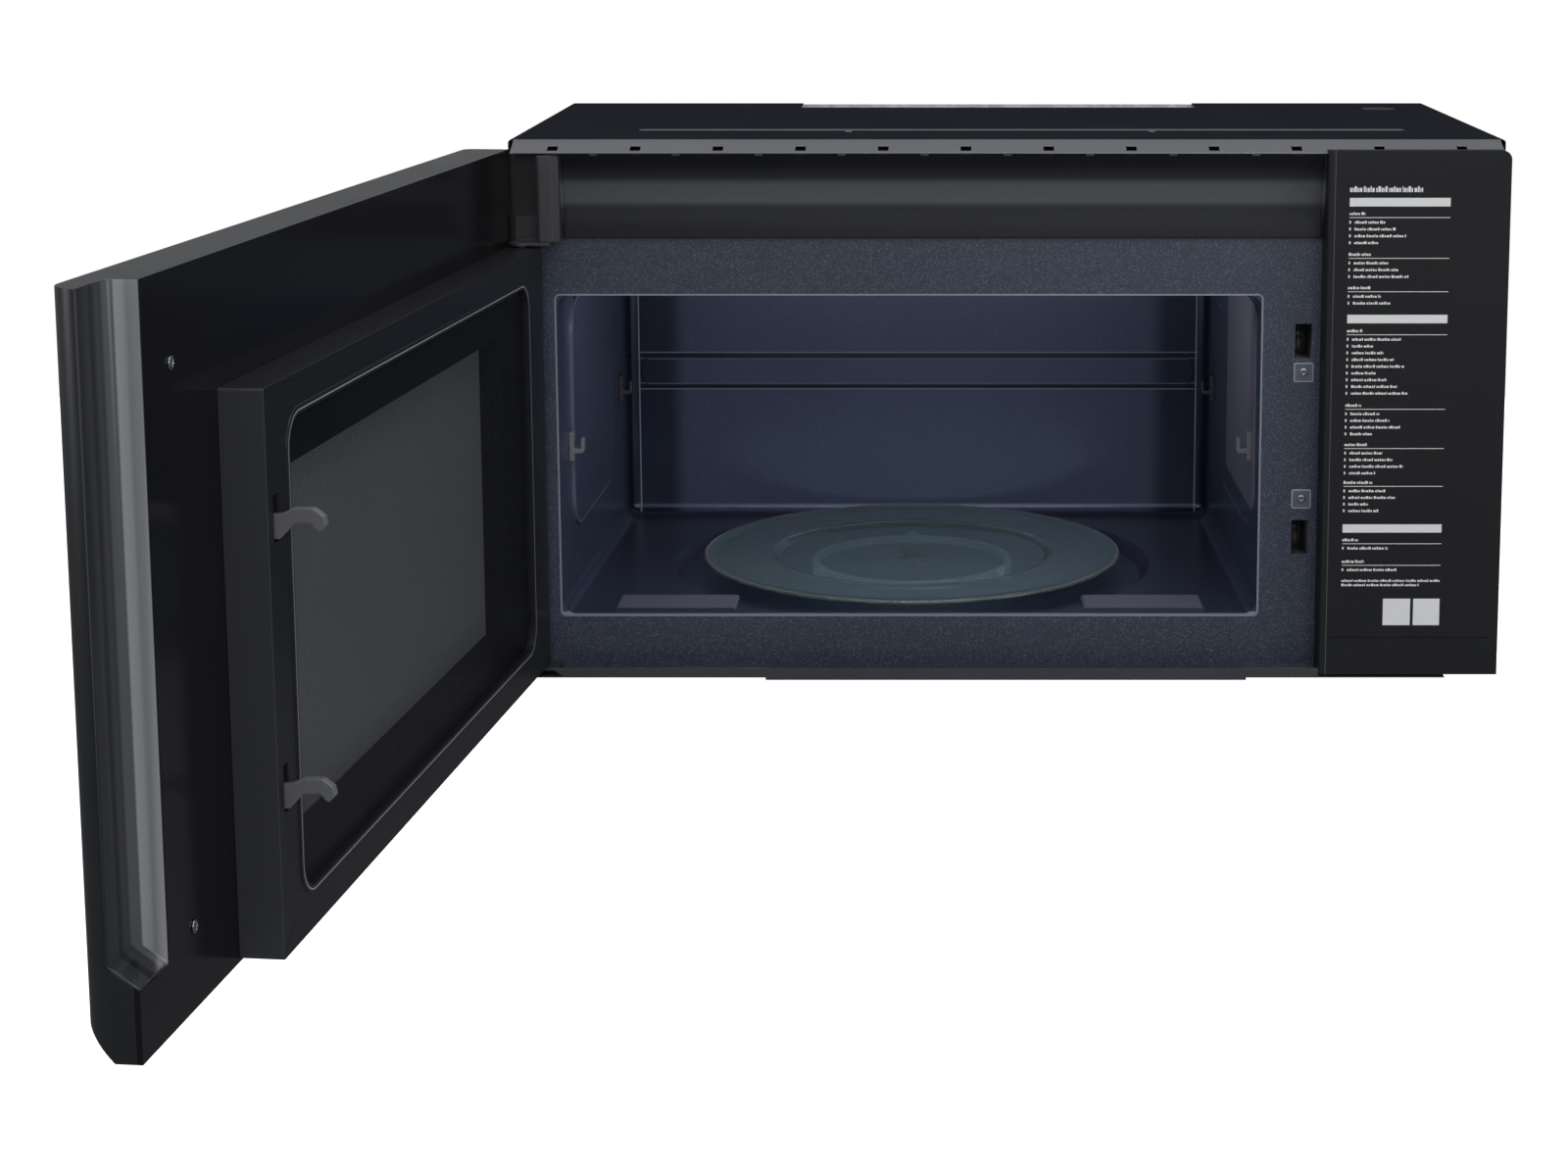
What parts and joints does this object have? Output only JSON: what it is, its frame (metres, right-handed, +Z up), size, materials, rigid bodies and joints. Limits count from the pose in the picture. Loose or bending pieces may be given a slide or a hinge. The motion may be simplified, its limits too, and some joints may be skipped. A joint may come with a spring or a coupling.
{
  "type": "over the range microwave",
  "caption": "Over the range microwave oven with an open side-hinged door, glass turntable, top vent strip, twin blower, grease filters and hood lamps.",
  "frame": {"origin": "the middle of the case's back face, where it meets the wall", "axes": "+X to the right of someone facing the oven, +Y into the wall, +Z up"},
  "size_m": [0.869, 1.1293, 0.417],
  "materials": {
    "case_steel": "satin",
    "zinc_sheet": "satin",
    "pan_steel": "satin",
    "filter_mesh": "satin",
    "lens_glass": "clear",
    "lamp_white": "matte",
    "screw_steel": "polished",
    "black_rubber": "matte",
    "grey_enamel": "gloss",
    "grey_cover": "gloss",
    "grey_plastic": "satin",
    "grille_satin": "satin",
    "gloss_black": "gloss",
    "grey_trim": "satin",
    "hinge_steel": "satin",
    "satin_black": "satin",
    "motor_steel": "satin",
    "wheel_plastic": "satin",
    "charcoal": "matte",
    "core_steel": "matte",
    "capacitor_can": "satin",
    "black_plastic": "satin",
    "board_green": "satin",
    "button_red": "gloss",
    "tray_glass": "clear",
    "white_plastic": "satin",
    "door_edge": "satin",
    "smoked_glass": "gloss",
    "black_glass": "gloss",
    "handle_plastic": "gloss",
    "clear_pane": "gloss",
    "screen_steel": "matte"
  },
  "bodies": {
    "case": {"air_guide": "gloss_black", "back_plate": "zinc_sheet", "base_pan": "pan_steel", "blower_housing": "zinc_sheet", "blower_motor": "motor_steel", "case_screws": "screw_steel", "cavity_lamp": "zinc_sheet", "cavity_liner": "grey_enamel", "charcoal_filter": "charcoal", "cooktop_lamps": "lamp_white", "cooktop_lenses": "lens_glass", "cord_inlet": "black_rubber", "exhaust_plate": "zinc_sheet", "fan_motor": "motor_steel", "fan_shroud": "black_plastic", "front_frame": "grey_enamel", "grease_filter_left": "filter_mesh", "grease_filter_right": "filter_mesh", "hinge_lower": "hinge_steel", "hinge_pillar": "grey_trim", "hinge_upper": "hinge_steel", "hv_capacitor": "capacitor_can", "hv_transformer": "core_steel", "interlock_switches": "black_plastic", "label_panel": "satin_black", "latch_board": "grey_plastic", "magnetron": "motor_steel", "mount_nuts": "zinc_sheet", "outer_case": "case_steel", "power_board": "board_green", "rack_supports": "grey_plastic", "turntable_motor": "motor_steel", "vent_grille": "grille_satin", "waveguide": "zinc_sheet", "waveguide_cover": "grey_cover"},
    "door": {"door_skin": "door_edge", "door_window_glass": "smoked_glass", "door_touch_glass": "black_glass", "door_inner_panel": "gloss_black", "door_screws": "screw_steel", "handle_insert": "handle_plastic", "choke_cover": "satin_black", "choke_frame": "zinc_sheet", "hinge_bushes": "white_plastic", "door_inner_glass": "clear_pane", "door_screen": "screen_steel", "latch_spring": "screw_steel"},
    "latch": {"latch_bar": "grey_plastic"},
    "turntable": {"glass_tray": "tray_glass", "drive_coupler": "grey_plastic"},
    "ring": {"roller_ring": "white_plastic"},
    "roller_a": {"roller_1": "white_plastic"},
    "roller_b": {"roller_2": "white_plastic"},
    "roller_c": {"roller_3": "white_plastic"},
    "blower": {"blower_wheel_left": "wheel_plastic", "blower_wheel_right": "wheel_plastic", "blower_shaft": "screw_steel"},
    "fan": {"cooling_fan": "wheel_plastic"},
    "button_upper": {"interlock_button_upper": "button_red"},
    "button_lower": {"interlock_button_lower": "button_red"}
  },
  "joints": [
    {"name": "door_hinge", "type": "hinge", "parent": "case", "child": "door", "pos_m": [-0.369, -0.386, 0], "axis": [0, 0, 1], "range_deg": [-10, 96]},
    {"name": "latch_slide", "type": "slide", "parent": "door", "child": "latch", "axis": [0, 0, 1], "range_m": [0, 0.006], "stiffness_N_per_m": 250, "springref_m": -0.004, "deforming": ["latch_spring"]},
    {"name": "turntable_spin", "type": "hinge", "parent": "case", "child": "turntable", "pos_m": [-0.07475, -0.18825, -0.163], "axis": [0, 0, 1], "continuous": true},
    {"name": "ring_spin", "type": "hinge", "parent": "case", "child": "ring", "pos_m": [-0.07475, -0.18825, -0.163], "axis": [0, 0, 1], "continuous": true},
    {"name": "roller_spin_a", "type": "hinge", "parent": "ring", "child": "roller_a", "pos_m": [-0.07475, -0.10025, -0.1675], "axis": [0, 1, 0], "continuous": true},
    {"name": "roller_spin_b", "type": "hinge", "parent": "ring", "child": "roller_b", "pos_m": [-0.15096, -0.23225, -0.1675], "axis": [-0.866, -0.5, 0], "continuous": true},
    {"name": "roller_spin_c", "type": "hinge", "parent": "ring", "child": "roller_c", "pos_m": [0.00146, -0.23225, -0.1675], "axis": [0.866, -0.5, 0], "continuous": true},
    {"name": "blower_spin", "type": "hinge", "parent": "case", "child": "blower", "pos_m": [0, -0.104, 0.1465], "axis": [1, 0, 0], "continuous": true},
    {"name": "fan_spin", "type": "hinge", "parent": "case", "child": "fan", "pos_m": [0.2815, -0.06, -0.033], "axis": [0, 1, 0], "continuous": true},
    {"name": "button_upper_press", "type": "slide", "parent": "case", "child": "button_upper", "axis": [0, 1, 0], "range_m": [0, 0.0025], "stiffness_N_per_m": 150, "springref_m": -0.002},
    {"name": "button_lower_press", "type": "slide", "parent": "case", "child": "button_lower", "axis": [0, 1, 0], "range_m": [0, 0.0025], "stiffness_N_per_m": 150, "springref_m": -0.002}
  ],
  "couplings": [
    {"joint": "ring_spin", "follows": "turntable_spin", "ratio": 0.5},
    {"joint": "roller_spin_a", "follows": "turntable_spin", "ratio": -8.4615},
    {"joint": "roller_spin_b", "follows": "turntable_spin", "ratio": -8.4615},
    {"joint": "roller_spin_c", "follows": "turntable_spin", "ratio": -8.4615}
  ]
}
